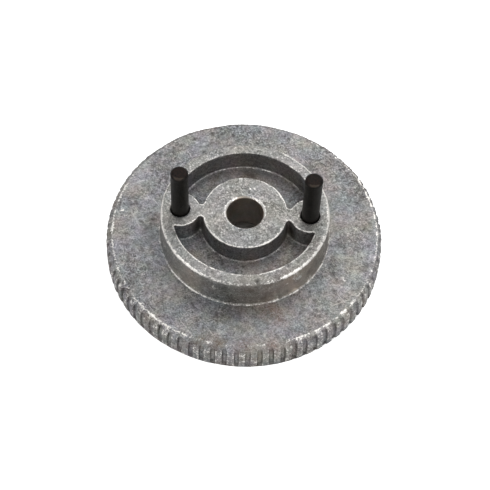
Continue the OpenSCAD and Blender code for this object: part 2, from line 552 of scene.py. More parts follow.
def rim(shell):
    """Serrated rim. At each place the radius is the lesser, with a soft corner, of the plain
    profile and of the tip circle less the groove. The groove is deeper at its top end, and
    ends on a thin foot at the back. Returns the loops at the flat face and at the back."""
    rng = np.random.default_rng(41)
    outward, trim, z, crest = rim_rows()
    half = len(GROOVE_SECTION)
    side, deep, worn_and_highlit, dirty_and_shaded = np.concatenate([GROOVE_SECTION[::-1], GROOVE_SECTION]).T
    side[:half] *= -1

    # each groove's own width, place, lean and depth, which leave the middle of the lands alone
    wide = rng.normal(1, 0.07, TEETH)[:, None]
    shift = rng.normal(0, 0.03, TEETH)[:, None]
    lean = rng.normal(0, 0.014, TEETH)[:, None]
    depth = rng.normal(1, 0.1, TEETH).clip(0.75, 1.15)[:, None]
    loose = np.where(np.abs(side) < 0.7, 1.0, 0.0)
    across = side * np.where(np.abs(side) < 0.5, wide, 1.0) + shift * loose
    across = across + lean * loose * (z - 1.5)
    middle = FIRST_TOOTH + TURN / TEETH * (np.arange(TEETH) + 0.5)
    angle = middle[:, None] + across / RIM_R

    crest_r = around(angle, CREST_RADIUS)
    plain_r = np.where(
        outward < 0,
        crest_r + outward,
        crest_r + (RIM_R - crest_r) * outward - trim * (around(angle, FOOT_ROUND) + 0.02),
    )
    cut = around(angle, FOOT_CUT)
    sink = GROOVE_DEPTH * (cut + (1 - cut) * smooth(z, 0.18, 0.42))
    sink = sink + GROOVE_TOP_SINK * around(angle, TOP_SINK) * smooth(z, 1.2, 3.3)
    groove_r = RIM_R - sink * depth * deep
    soft = 0.03
    radius = plain_r - soft * np.log1p(np.exp((plain_r - groove_r) / soft - 1.5))
    # the last row lies on the back face, just inside the foot
    radius[-1] = radius[-2] - 0.06
    points = np.stack([
        radius * np.cos(angle), radius * np.sin(angle), z + np.zeros_like(angle)
    ], -1)

    in_groove = ((plain_r - radius) / GROOVE_DEPTH).clip(0, 1)
    on_wall = smooth(plain_r, CREST_R + 0.35, CREST_R + 0.75) * (z > 0.01)
    land = 1 - deep * smooth(z, DISC_Z + 0.04, DISC_Z - 0.08) * 0.7
    # crest wear, and painted highlights along the crest that vary by angle
    rubbed = around(angle, CREST_WEAR_AND_HIGHLIGHT) * crest * (1 - in_groove) * land
    wear = np.maximum(rubbed, worn_and_highlit * on_wall)
    # painted shade at the grooves' low ends, and grime with painted shade in the grooves
    low_end = (1 - smooth(z, 0.3, 0.8)) * (z > 0.01) * around(angle, LOW_END_SHADE)
    packed_and_shaded = dirty_and_shaded * smooth(in_groove, 0.05, 0.4) * around(angle, GROOVE_GRIME_AND_SHADE)
    grime = np.maximum(packed_and_shaded, deep * low_end)
    shape = (len(z), TEETH * len(side))
    rows = shell.add(points.reshape(shape + (3,)), wear=wear.reshape(shape),
                     grime=grime.reshape(shape))
    shell.band(rows)
    return rows[0], rows[-1]


def back_and_bore(shell, land_loop, hole_feet, rng):
    """Back of the disc from the land inwards: hollow, seat boss, conical seat and bore.
    Returns the loop of the bore's mouth."""
    columns = 216
    # radius, height, wear, and grime with painted shade, darkest at the hollow's foot
    outer = np.array([
        [HOLLOW_OUT_R + 0.1, 0.0, 0.5, 0],
        [HOLLOW_OUT_R, 0.03, 0.9, 0],
        [HOLLOW_OUT_R - 0.06, 0.12, 0.4, 0.2],
        [HOLLOW_OUT_R - 0.24, 0.7, 0, 0.7],
        [HOLLOW_OUT_R - 0.36, 0.92, 0, 0.8],
        [HOLLOW_OUT_R - 0.6, HOLLOW_Z, 0, 0.4],
    ])
    rows = shell.add(revolved(outer, columns), wear=outer[:, 2:3], grime=outer[:, 3:4])
    shell.band(rows)
    shell.fill([land_loop, rows[0]], 0.0, BACK_GRID, rng)
    seat = np.linspace(0, 1, 7)
    rise = np.linspace(0, 1, 13)[1:]
    mouth_z = TOP_Z - BORE_BEVEL
    # radius, height, wear, grime and tooling; the grime is painted shade in the hollow's
    # corners, in the seat and down the bore, darker deeper
    inner = np.concatenate([
        [[HOLLOW_IN_R + 0.6, HOLLOW_Z, 0, 0.4, 0],
         [HOLLOW_IN_R + 0.36, 0.92, 0, 0.8, 0],
         [HOLLOW_IN_R + 0.24, 0.7, 0, 0.7, 0],
         [HOLLOW_IN_R + 0.06, 0.12, 0.4, 0.2, 0],
         [HOLLOW_IN_R, 0.03, 0.9, 0, 0],
         [HOLLOW_IN_R - 0.1, 0.0, 0.5, 0, 0],
         [5.7, 0.0, 0, 0, 0],
         [5.0, 0.0, 0, 0, 0],
         [SEAT_R + 0.12, 0.0, 0.8, 0, 0.5]],
        np.stack([SEAT_R + (BORE_R - SEAT_R) * seat, 0.04 + (SEAT_DEPTH - 0.04) * seat,
                  [0.8, 0, 0, 0, 0, 0, 0.2], seat * 0 + 0.8, seat * 0 + 1], 1),
        np.stack([rise * 0 + BORE_R, SEAT_DEPTH + (mouth_z - SEAT_DEPTH) * rise,
                  rise * 0, (0.5 - 0.75 * rise).clip(0), rise * 0 + 1], 1),
        [[BORE_R + 0.05, mouth_z + 0.07, 0.8, 0, 1],
         [BORE_R + 0.14, mouth_z + 0.15, 1, 0, 0.8],
         [BORE_R + BORE_BEVEL - 0.03, TOP_Z - 0.02, 1, 0, 0.3],
         [BORE_R + BORE_BEVEL + 0.05, TOP_Z, 0.5, 0, 0]],
    ])
    z, wear, grime, tooled = inner.T[1:, :, None]
    # wear and painted highlight round the bore's mouth, set by angle
    wear = wear * np.where(z > mouth_z, around(column_angles(columns), BORE_WEAR_AND_HIGHLIGHT), 1.0)
    back = shell.add(revolved(inner, columns), wear=wear, grime=grime, tooled=tooled)
    shell.band(back)
    shell.fill([rows[-1], back[0]] + hole_feet, HOLLOW_Z, BACK_GRID, rng, grime=0.1)
    return back[-1]


def pin_hole(shell, side):
    """Hole for one pin, from its bevelled mouth to the hollow in the back. Returns the
    loops of its mouth and of its foot."""
    deep = np.linspace(0, 1, 8)
    shoulder_z, foot_z = TOP_Z - SHOULDER_SINK, HOLLOW_Z + 0.1
    profile = np.concatenate([
        [[HOLE_R + 0.1, TOP_Z], [HOLE_R + 0.04, TOP_Z - 0.03], [HOLE_R, TOP_Z - 0.12]],
        np.stack([HOLE_R + (SHANK_R - HOLE_R) * deep**0.3,
                  shoulder_z + (foot_z - shoulder_z) * deep], 1),
        [[SHANK_R + 0.06, HOLLOW_Z]],
    ])
    wear = np.concatenate([[0.3, 0.15, 0], deep * 0, [0.4]])[:, None]
    # painted shade: the hole round the pin is laid on near-black
    grime = np.concatenate([[0.35, 0.8, 1], deep * 0 + 1, [0.4]])[:, None]
    rows = shell.add(revolved(profile, 60, (side * PIN_X, 0)), wear=wear, grime=grime)
    shell.band(rows)
    return rows[0], rows[-1]


# Knocked-in nicks: angle in degrees from the X axis, radius, height, width and depth
NICKS = np.array([
    [78, 4.1, 8.9, 0.32, 0.05],
    [174, 18.3, 3.9, 0.5, 0.06],
    [177, 17.5, 3.9, 0.3, 0.05],
    [-28, 14.6, 3.9, 0.3, 0.04],
    [-22, 15.6, 3.9, 0.25, 0.04],
    [-81, 11.6, 8.9, 0.3, 0.05],
    [-98, 11.95, 8.85, 0.35, 0.06],
    [-128, 11.9, 8.85, 0.4, 0.06],
    [-35, 11.95, 8.85, 0.45, 0.06],
    [22, 11.9, 8.85, 0.4, 0.05],
    [150, 11.95, 8.85, 0.4, 0.05],
    [-88, 5.95, 8.85, 0.25, 0.05],
    [-140, 5.95, 8.85, 0.25, 0.04],
    [35, 5.95, 8.85, 0.3, 0.05],
])

# Brown stains: x, y, height and size in millimetres, and strength
STAINS = np.array([
    [5.7, -10.7, 6.6, 2.2, 0.5],
    [7.6, -9.4, 7.4, 1.6, 0.35],
    [1.2, -12.1, 7.4, 1.2, 0.4],
    [4.2, -12.9, 3.9, 1.7, 0.75],
    [5.6, -14.4, 3.9, 1.3, 0.65],
    [-0.8, -13.4, 3.9, 1.8, 0.2],
    [3.2, -5.2, 6.6, 1.0, 0.5],
    [1.9, -6.6, 5.8, 0.9, 0.5],
    [-7.2, -5.8, 5.8, 1.1, 0.6],
    [-4.6, 8.0, 5.8, 1.1, 0.5],
    [0.0, 8.4, 5.8, 1.3, 0.45],
    [4.5, 7.4, 5.8, 1.0, 0.35],
    [-5.5, -18.1, 3.6, 1.1, 1.0],
    [-2.6, -18.5, 3.6, 1.1, 1.0],
    [0.9, -18.5, 3.5, 1.3, 0.9],
    [4.6, -18.3, 3.5, 1.1, 0.9],
    [7.4, -17.8, 3.5, 0.9, 0.5],
    [2.6, -19.9, 2.0, 1.0, 0.8],
    [-0.4, -20.0, 1.6, 1.3, 0.5],
    [8.5, -18.0, 1.5, 1.6, 0.3],
])

# Dark patches, in the same columns: partly real patches and partly painted shade, such as the
# one by the ring's front foot; the last ones are painted shade in the corners beside the necks
DARK_PATCHES_AND_SHADE = np.array([
    [0.0, -11.3, 8.9, 1.3, 0.3],
    [2.9, -10.9, 8.9, 1.2, 0.3],
    [-2.6, -11.9, 6.4, 0.9, 0.35],
    [3.6, -11.6, 5.9, 0.8, 0.3],
    [9.6, -7.4, 5.9, 0.9, 0.35],
    [-8.9, -8.3, 5.6, 0.8, 0.3],
    [-5.2, -11.0, 7.6, 0.7, 0.25],
    [-4.2, 17.6, 3.9, 0.9, 0.45],
    [-3.2, 15.5, 3.9, 0.6, 0.35],
    [-4.4, 16.2, 3.9, 0.7, 0.4],
    [-14.2, -0.6, 3.9, 0.9, 0.35],
    [-13.8, -2.4, 3.9, 0.8, 0.4],
    [-15.3, -2.9, 3.9, 0.7, 0.35],
    [12.8, -6.4, 3.9, 0.35, 0.7],
    [13.4, -7.3, 3.9, 0.3, 0.6],
    [0.1, -7.1, 5.75, 0.22, 1.0],
    [2.2, -11.3, 8.9, 0.35, 0.9],
    [-0.8, -13.4, 3.9, 1.7, 0.3],
    [-13.0, 0.6, 3.9, 1.3, 0.35],
    [-13.3, -1.2, 3.9, 1.2, 0.3],
    [0.3, 8.6, 5.75, 1.5, 0.8],
    [1.2, -12.1, 7.4, 0.9, 0.3],
    [13.6, 1.6, 3.9, 1.4, 0.4],
    [13.6, -1.4, 3.9, 1.2, 0.3],
    [13.0, -4.3, 3.9, 1.4, 0.35],
    [13.4, 5.4, 3.9, 1.1, 0.18],
    [-12.6, -8.0, 3.9, 1.2, 0.2],
    [17.6, 3.4, 3.9, 0.8, 0.12],
    [16.9, 6.5, 3.9, 0.7, 0.12],
    [17.5, -4.7, 3.9, 0.9, 0.35],
    *([x, y, 6.9, 1.15, 0.9] for x in (6.5, -6.5) for y in (1.7, -1.7)),
])

# Knocked spots of bare metal, in the same columns; the two on the ring's wall at its front
# sides are painted light, and the last two are a painted highlight inside the bore's mouth
BRIGHT_SPOTS_AND_HIGHLIGHTS = np.array([
    [0.5, 4.15, 8.9, 0.15, 1.0],
    [1.12, 4.15, 8.9, 0.15, 1.0],
    [0.82, 3.8, 8.9, 0.14, 0.9],
    [7.2, -9.8, 7.7, 0.9, 0.12],
    [-7.2, -9.9, 7.2, 0.8, 0.2],
    [14.3, -7.0, 3.9, 0.2, 0.8],
    [14.6, -7.4, 3.9, 0.2, 0.6],
    [-17.9, 2.6, 3.9, 0.25, 0.8],
    [-17.4, 1.6, 3.9, 0.2, 0.7],
    [1.9, 2.3, 8.4, 0.6, 0.55],
    [-1.9, 2.1, 8.3, 0.5, 0.4],
])

# Speckled areas of the disc: first and last angle in degrees, inner and outer radius, number
# of specks, and strength
SPECKLED = [
    [-5, 45, 16.4, 18.8, 90, 0.28],
    [95, 118, 14.5, 18.5, 60, 0.55],
    [160, 202, 13.0, 18.0, 70, 0.5],
    [-55, -15, 14.0, 18.6, 50, 0.4],
    [-150, -50, 13.2, 18.4, 90, 0.3],
    [40, 100, 13.0, 18.6, 60, 0.12],
]


def wall_specks(seed, count, strength):
    """Rows of small seeded patches, spread evenly over the front of the ring's wall."""
    rng = np.random.default_rng(seed)
    a = np.radians(rng.uniform(-180, 0, count))
    wall_r = RING_R + RING_DRAFT / 2
    return np.stack([
        wall_r * np.cos(a), wall_r * np.sin(a), rng.uniform(4.3, 8.3, count),
        rng.uniform(0.2, 0.75, count), strength * rng.uniform(0.4, 1.3, count),
    ], 1)


def disc_specks():
    """Rows of small seeded patches, spread evenly over the speckled areas of the disc."""
    rng = np.random.default_rng(17)
    rows = []
    for from_a, to_a, from_r, to_r, count, strength in SPECKLED:
        a = np.radians(rng.uniform(from_a, to_a, count))
        r = rng.uniform(from_r, to_r, count)
        rows.append(np.stack([
            r * np.cos(a), r * np.sin(a), np.full(count, DISC_Z),
            rng.uniform(0.12, 0.32, count), strength * rng.uniform(0.5, 1.3, count),
        ], 1))
    return np.concatenate(rows)


def patches(points, table):
    """Sum of bell curves round the table's places, each strength * exp(-(d / size)^2)."""
    out = np.zeros(len(points))
    for row in table:
        gap = ((points - row[:3]) ** 2).sum(1) / row[3] ** 2
        out += row[4] * np.exp(-gap)
    return out.clip(0, 1)


def dented(points, rng):
    """Depth of wear dents at each point: each dent is a bell curve round its centre. The
    chosen nicks come first, then small seeded ones along the edges of the ring and the hub,
    along the rim's crest and over its wall."""
    count = 150
    edge_r = [RING_R - 0.05, HUB_R - 0.05, CREST_R + 0.1, RIM_R]
    edge_z = [TOP_Z - 0.05, TOP_Z - 0.05, DISC_Z - 0.1, 0]
    rim_wall = 3
    a = rng.uniform(0, TURN, count)
    edge = rng.integers(0, len(edge_r), count)
    up = np.where(edge == rim_wall, rng.uniform(0.3, 2.4, count), 0.0)
    wide = rng.uniform(0.12, 0.4, count)
    seeded = [a, np.choose(edge, edge_r), np.choose(edge, edge_z) + up, wide,
              wide * rng.uniform(0.06, 0.2, count)]
    chosen = NICKS.T.copy()
    chosen[0] = np.radians(chosen[0])
    out = np.zeros(len(points))
    for angle, r, z, size, deep in np.hstack([chosen, seeded]).T:
        centre = np.array([r * math.cos(angle), r * math.sin(angle), z])
        gap = ((points - centre) ** 2).sum(1) / size**2
        out = np.maximum(out, deep * np.exp(-2 * gap))
    return out


def weather(points, marks):
    """Adds to the casting's marks what lies at chosen places: knocked spots and painted light,
    dark patches and painted shade, brown stains, the handled side of the ring, and the grime
    and painted shade on the pockets' floors."""
    reach = np.hypot(points[:, 0], points[:, 1])
    turn = np.arctan2(points[:, 1], points[:, 0])
    bright = patches(points, np.concatenate([BRIGHT_SPOTS_AND_HIGHLIGHTS, wall_specks(18, 60, 0.3)]))
    dark = patches(
        points, np.concatenate([DARK_PATCHES_AND_SHADE, disc_specks(), wall_specks(19, 80, 0.32)])
    )
    on_floor = (reach < RING_BORE_R) & (reach > HUB_R) & (points[:, 2] == FLOOR_Z)
    # grime and painted shade on the pockets' floors, varying by angle
    packed_and_shaded = np.where(on_floor, around(turn, FLOOR_GRIME_AND_SHADE), 0)
    below_top = (reach < RING_R + 0.3) & (points[:, 2] < TOP_Z - 0.2)
    handled = 0.35 * below_top * smooth(points[:, 0], -9, 9)
    rim_stain = 0.2 * smooth(reach, CREST_R, CREST_R + 0.4)
    marks["wear"] = np.maximum(marks["wear"], bright)
    marks["grime"] = np.maximum.reduce([marks["grime"], dark, packed_and_shaded])
    marks["stain"] = np.maximum.reduce([patches(points, STAINS), handled, rim_stain])


def cast_skin(points, normals, marks, rng):
    """Uneven skin: each point moves along its normal by waves of a few lengths, less its
    dents. The rim is coarser than the rest, and tooled faces and the ring's wall where it
    carries painted sheen are plain. Nothing passes the tip circle, and the back stays flat."""
    reach = np.hypot(points[:, 0], points[:, 1])
    turn = np.arctan2(points[:, 1], points[:, 0])
    lift = 0.018 * waves(points, 6.5, 3) + 0.007 * waves(points, 1.5, 4)
    lift += (0.004 + 0.008 * marks["wear"]) * waves(points, 0.7, 5)
    on_rim = smooth(reach, CREST_R + 0.1, CREST_R + 0.5) * around(turn, RIM_GRAIN)
    on_rim = on_rim * smooth(points[:, 2], 0.0, 0.3)
    lift += on_rim * (0.016 * waves(points, 0.55, 6) + 0.012 * waves(points, 0.32, 8) - 0.012)
    lift = lift * (1 - marks["tooled"]) - dented(points, rng)
    moved = points + normals * lift[:, None]
    outer = np.hypot(moved[:, 0], moved[:, 1])
    moved[:, :2] *= np.minimum(1, RIM_R / np.maximum(outer, 1e-9))[:, None]
    moved[:, 2] = np.where(points[:, 2] < 1e-6, 0, np.maximum(moved[:, 2], 0))
    return moved


def casting():
    """The whole die casting as one closed mesh: patches that share their loops, then marks,
    then the uneven skin."""
    rng = np.random.default_rng(7)
    shell = Shell()
    mouths = [pocket(shell, side, rng) for side in (1, -1)]
    ring_top, ring_foot = ring_wall(shell)
    rim_top, rim_back = rim(shell)
    holes = [pin_hole(shell, side) for side in (-1, 1)]
    hole_mouths, hole_feet = (list(loops) for loops in zip(*holes))
    bore_mouth = back_and_bore(shell, rim_back, hole_feet, rng)
    shell.fill([ring_top, bore_mouth] + mouths + hole_mouths, TOP_Z, TOP_GRID, rng, rubbed=1.0)
    shell.fill([rim_top, ring_foot], DISC_Z, DISC_GRID, rng)
    points, marks, quads, triangles = shell.arrays()
    weather(points, marks)
    piece = mesh_object("flywheel_casting_skin", points, marks, quads, triangles)
    mesh = piece.data
    normals = np.zeros(len(points) * 3, np.float32)
    mesh.vertices.foreach_get("normal", normals)
    moved = cast_skin(points, normals.reshape(-1, 3).astype(float), marks, rng)
    mesh.vertices.foreach_set("co", (moved * MM).astype(np.float32).ravel())
    mesh.update()
    return piece


# ---------------------------------------------------------------------------
# The pins
# ---------------------------------------------------------------------------

def clutch_pin(name, side, seed):
    """Stepped pin turned from a profile: bevelled foot, pressed shank, shoulder just below
    the boss, ground free end and bevelled flat top. The poles are closed by fans."""
    shoulder_z = TOP_Z - SHOULDER_SINK
    bevel_z = PIN_TOP_Z - PIN_BEVEL
    flat_r = PIN_R - PIN_BEVEL
    shank = np.linspace(PIN_FOOT_Z + PIN_BEVEL, shoulder_z - 0.05, 6)
    free = np.linspace(shoulder_z + 0.06, bevel_z, 34)
    shank_r = SHANK_R - 0.006 - (SHANK_R - HOLE_R) * smooth(shank, 6, 8.4)
    profile = np.concatenate([
        [[0.3, PIN_FOOT_Z], [0.9, PIN_FOOT_Z], [SHANK_R - PIN_BEVEL, PIN_FOOT_Z]],
        np.stack([shank_r, shank], 1),
        [[SHANK_R - 0.1, shoulder_z], [PIN_R + 0.04, shoulder_z + 0.01]],
        np.stack([free * 0 + PIN_R, free], 1),
        [[PIN_R - 0.03, bevel_z + 0.05], [flat_r + 0.05, PIN_TOP_Z - 0.05],
         [flat_r, PIN_TOP_Z - 0.012], [flat_r - 0.08, PIN_TOP_Z],
         [0.6, PIN_TOP_Z], [0.25, PIN_TOP_Z]],
    ])
    # rubbed bevel with a painted highlight, kept to the front side by angle
    bevel_wear_and_highlight = [0.3, 0.5, 1, 0.9, 0.5, 0, 0]
    wear = np.concatenate([np.zeros(len(profile) - len(bevel_wear_and_highlight)), bevel_wear_and_highlight])[:, None]
    columns = 96
    shell = Shell()
    rows = shell.add(revolved(profile, columns, (side * PIN_X, 0)),
                     wear=wear * around(column_angles(columns), PIN_BEVEL_HIGHLIGHT))
    shell.band(rows)
    poles = shell.add(np.array([[side * PIN_X, 0, PIN_FOOT_Z], [side * PIN_X, 0, PIN_TOP_Z]]))
    for pole, row in zip(poles, (rows[0], rows[-1])):
        ahead = np.roll(row, -1)
        shell.triangles.append(np.stack([np.full(len(row), pole), row, ahead], 1))
    points, marks, quads, triangles = shell.arrays()
    marks["stain"] = smooth(points[:, 2], PIN_TOP_Z - 0.3, PIN_TOP_Z - 0.05)
    reach = np.hypot(points[:, 0] - side * PIN_X, points[:, 1])
    lift = 0.004 * waves(points, 2.2, seed) - 0.004
    scale = 1 + np.where(reach > 0.5, lift / np.maximum(reach, 0.5), 0)
    points[:, 0] = side * PIN_X + (points[:, 0] - side * PIN_X) * scale
    points[:, 1] *= scale
    return mesh_object(name, points, marks, quads, triangles)


# ---------------------------------------------------------------------------
# Materials
# ---------------------------------------------------------------------------

class Nodes:
    """Short calls that place and link shader nodes in one tree."""

    def __init__(self, tree):
        self.tree = tree

    def new(self, kind, inputs=None, **settings):
        """Node of a kind, with its inputs by name or number and its other settings."""
        node = self.tree.nodes.new(kind)
        for key, value in settings.items():
            setattr(node, key, value)
        for key, value in (inputs or {}).items():
            self.put(node.inputs[key], value)
        return node

    def put(self, socket, value):
        """Links an output to the socket, or sets the socket's own value."""
        if isinstance(value, bpy.types.NodeSocket):
            self.tree.links.new(value, socket)
        else:
            socket.default_value = value

    def mark(self, name):
        """One of the marks that the surface carries."""
        return self.new("ShaderNodeAttribute", attribute_name=name).outputs["Fac"]

    def math(self, operation, a, b):
        """One sum or other operation on two values."""
        return self.new("ShaderNodeMath", {0: a, 1: b}, operation=operation).outputs[0]

    def times(self, a, b):
        """Product of two values."""
        return self.math("MULTIPLY", a, b)

    def ramp(self, value, low, high, out_low=0.0, out_high=1.0):
        """Smooth step of value from low to high."""
        node = self.new(
            "ShaderNodeMapRange",
            {"Value": value, "From Min": low, "From Max": high,
             "To Min": out_low, "To Max": out_high},
            interpolation_type="SMOOTHSTEP",
        )
        return node.outputs["Result"]

    def noise(self, vector, size_mm, detail, roughness, distortion=0.0):
        """Noise whose largest cells are of the given size."""
        node = self.new(
            "ShaderNodeTexNoise",
            {"Vector": vector, "Scale": 1 / (size_mm * MM), "Detail": detail,
             "Roughness": roughness, "Distortion": distortion},
        )
        return node.outputs["Fac"]

    def divided(self, vector, size):
        """Vector divided by a size, so that a pattern on it grows with the size."""
        node = self.new("ShaderNodeVectorMath", {0: vector}, operation="SCALE")
        self.put(node.inputs["Scale"], self.math("DIVIDE", 1.0, size))
        return node.outputs[0]

    def weighted(self, terms):
        """Sum of (value, weight) pairs."""
        total = None
        for value, weight in terms:
            part = self.times(value, weight)
            total = part if total is None else self.math("ADD", total, part)
        return total

    def mix(self, share, a, b, blend="MIX"):
        """Colour a with a share of colour b laid over it."""
        node = self.new("ShaderNodeMix", data_type="RGBA", blend_type=blend)
        self.put(node.inputs[0], share)
        self.put(node.inputs[6], a)
        self.put(node.inputs[7], b)
        return node.outputs[2]

    def group(self, tree, **inputs):
        """Outputs of a node group that is placed with its own values."""
        node = self.new("ShaderNodeGroup", node_tree=tree)
        for key, value in inputs.items():
            self.put(node.inputs[key], value)
        return node.outputs

    def finish(self, base, rough, metallic, height, strength, depth_mm):
        """Feeds the material's own shader, with a bump from the height."""
        shader = self.tree.nodes["Principled BSDF"].inputs
        bump = self.new("ShaderNodeBump", {"Height": height, "Strength": strength,
                                           "Distance": depth_mm * MM})
        self.put(shader["Base Color"], base)
        self.put(shader["Roughness"], rough)
        self.put(shader["Metallic"], metallic)
        self.put(shader["Normal"], bump.outputs["Normal"])
        return shader


def new_material(name):
    """Material, its node calls, and the place on the object that its patterns read."""
    material = bpy.data.materials.new(name)
    material.use_nodes = True
    n = Nodes(material.node_tree)
    return material, n, n.new("ShaderNodeTexCoord").outputs["Object"]


def new_group(name, inputs, outputs):
    """Empty node group with named sockets; each entry is name: socket type."""
    tree = bpy.data.node_groups.new(name, "ShaderNodeTree")
    for way, sockets in (("INPUT", inputs), ("OUTPUT", outputs)):
        for key, kind in sockets.items():
            tree.interface.new_socket(name=key, in_out=way, socket_type=kind)
    return tree, tree.nodes.new("NodeGroupInput").outputs, tree.nodes.new("NodeGroupOutput")


FLOAT, COLOUR, VECTOR = "NodeSocketFloat", "NodeSocketColor", "NodeSocketVector"


def cast_grain_group():
    """Skin of a tumbled casting: a mottled tone round 0.5, bright flecks, dark pits, fine
    scratches that lie two ways, and the height of the skin. Grain scales all of it."""
    tree, given, out = new_group(
        "cast_grain", {"Vector": VECTOR, "Grain": FLOAT},
        {"Tone": FLOAT, "Flecks": FLOAT, "Pits": FLOAT, "Scratches": FLOAT, "Height": FLOAT},
    )
    n = Nodes(tree)
    place = n.divided(given["Vector"], given["Grain"])
    cloud = n.noise(place, 6.0, 2.0, 0.5, 0.6)
    blotch = n.noise(place, 1.5, 2.0, 0.6, 0.5)
    grain = n.noise(place, 0.46, 2.0, 0.7, 0.2)
    fine = n.noise(place, 0.21, 2.0, 0.7)
    tone = n.weighted([(cloud, 0.18), (blotch, 0.08), (grain, 0.28), (fine, 0.44)])
    flecks = n.ramp(n.weighted([(fine, 0.55), (grain, 0.3), (blotch, 0.15)]), 0.53, 0.64)
    pits = n.ramp(n.weighted([(grain, 0.45), (fine, 0.25), (cloud, 0.3)]), 0.46, 0.37)
    height = n.weighted([(fine, 0.35), (grain, 0.45), (blotch, 0.3), (pits, -0.2)])
    streaks = []
    for degrees in (24, -52):
        laid = n.new(
            "ShaderNodeMapping",
            {"Vector": place, "Rotation": (0, 0, math.radians(degrees)), "Scale": (14, 1, 1)},
            vector_type="TEXTURE",
        )
        streaks.append(n.ramp(n.noise(laid.outputs[0], 0.15, 1.0, 0.5), 0.67, 0.73))
    found = {"Tone": tone, "Flecks": flecks, "Pits": pits, "Height": height,
             "Scratches": n.math("MAXIMUM", *streaks)}
    for key, value in found.items():
        n.put(out.inputs[key], value)
    return tree


def tarnish_group():
    """Faint colour of handled metal: a multiplier that wanders between cool and warm, and
    between green and plum, in patches of about the given size in millimetres."""
    tree, given, out = new_group(
        "tarnish", {"Vector": VECTOR, "Patch": FLOAT, "Warmth": FLOAT}, {"Tint": COLOUR}
    )
    n = Nodes(tree)
    place = n.divided(given["Vector"], given["Patch"])
    warm = n.ramp(n.math("ADD", n.noise(place, 1.3, 3.0, 0.6), given["Warmth"]), 0.28, 0.72)
    far = n.new("ShaderNodeVectorMath", {0: place, 1: (0.31, 0.17, 0.23)}, operation="ADD")
    plum = n.ramp(n.noise(far.outputs[0], 0.9, 3.0, 0.6), 0.3, 0.7)
    first = n.mix(warm, (0.95, 0.985, 1.045, 1), (1.05, 1.0, 0.93, 1))
    second = n.mix(plum, (0.975, 1.015, 0.985, 1), (1.03, 0.975, 1.01, 1))
    n.put(out.inputs["Tint"], n.mix(1.0, first, second, "MULTIPLY"))
    return tree


def edge_wear_and_highlight_group():
    """Bright metal on edges, from real wear and painted highlights: the edge mark broken up by
    coarse and fine noise.
    """
    tree, given, out = new_group(
        "edge_wear_and_highlight", {"Vector": VECTOR, "Mark": FLOAT, "Break": FLOAT}, {"Mask": FLOAT}
    )
    n = Nodes(tree)
    coarse = n.noise(given["Vector"], 1.1, 2.0, 0.6)
    fine = n.noise(given["Vector"], 0.24, 2.0, 0.7)
    breakup = n.math("SUBTRACT", n.weighted([(coarse, 0.45), (fine, 0.55)]), 0.5)
    broken = n.times(breakup, given["Break"])
    kept = n.ramp(given["Mark"], 0.02, 0.25)
    mask = n.ramp(n.math("ADD", given["Mark"], broken), 0.35, 0.85)
    n.put(out.inputs["Mask"], n.times(mask, kept))
    return tree


# Colours of the casting: its skin, the same where it is rubbed, what breaks it up, and what
# lies on it; the grime colour also lays painted shade, the bare metal painted highlights and
# the turned metal painted sheen
SKIN_DARK, SKIN_LIGHT = (0.2, 0.2, 0.2, 1), (0.47, 0.475, 0.475, 1)
RUBBED_DARK, RUBBED_LIGHT = (0.25, 0.25, 0.24, 1), (0.485, 0.483, 0.466, 1)
PIT_GREY, FLECK_GREY, SCRATCH_GREY = (
    (0.1, 0.095, 0.09, 1), (0.82, 0.81, 0.79, 1), (0.75, 0.74, 0.72, 1)
)
TURNED_METAL_AND_SHEEN, BARE_METAL_AND_HIGHLIGHT = (0.64, 0.575, 0.5, 1), (1.0, 0.975, 0.93, 1)
GRIME_AND_SHADE_BLACK, STAIN_BROWN = (0.06, 0.055, 0.05, 1), (0.22, 0.145, 0.1, 1)

# Colours of the pins: black oxide, its brown top, and oxide that is rubbed thin, which also
# lays a painted highlight at the front of the bevel
OXIDE_DARK, OXIDE_LIGHT = (0.005, 0.005, 0.0046, 1), (0.017, 0.0158, 0.0142, 1)
OXIDE_BROWN, THIN_OXIDE_AND_GLINT = (0.018, 0.009, 0.007, 1), (0.12, 0.1, 0.085, 1)


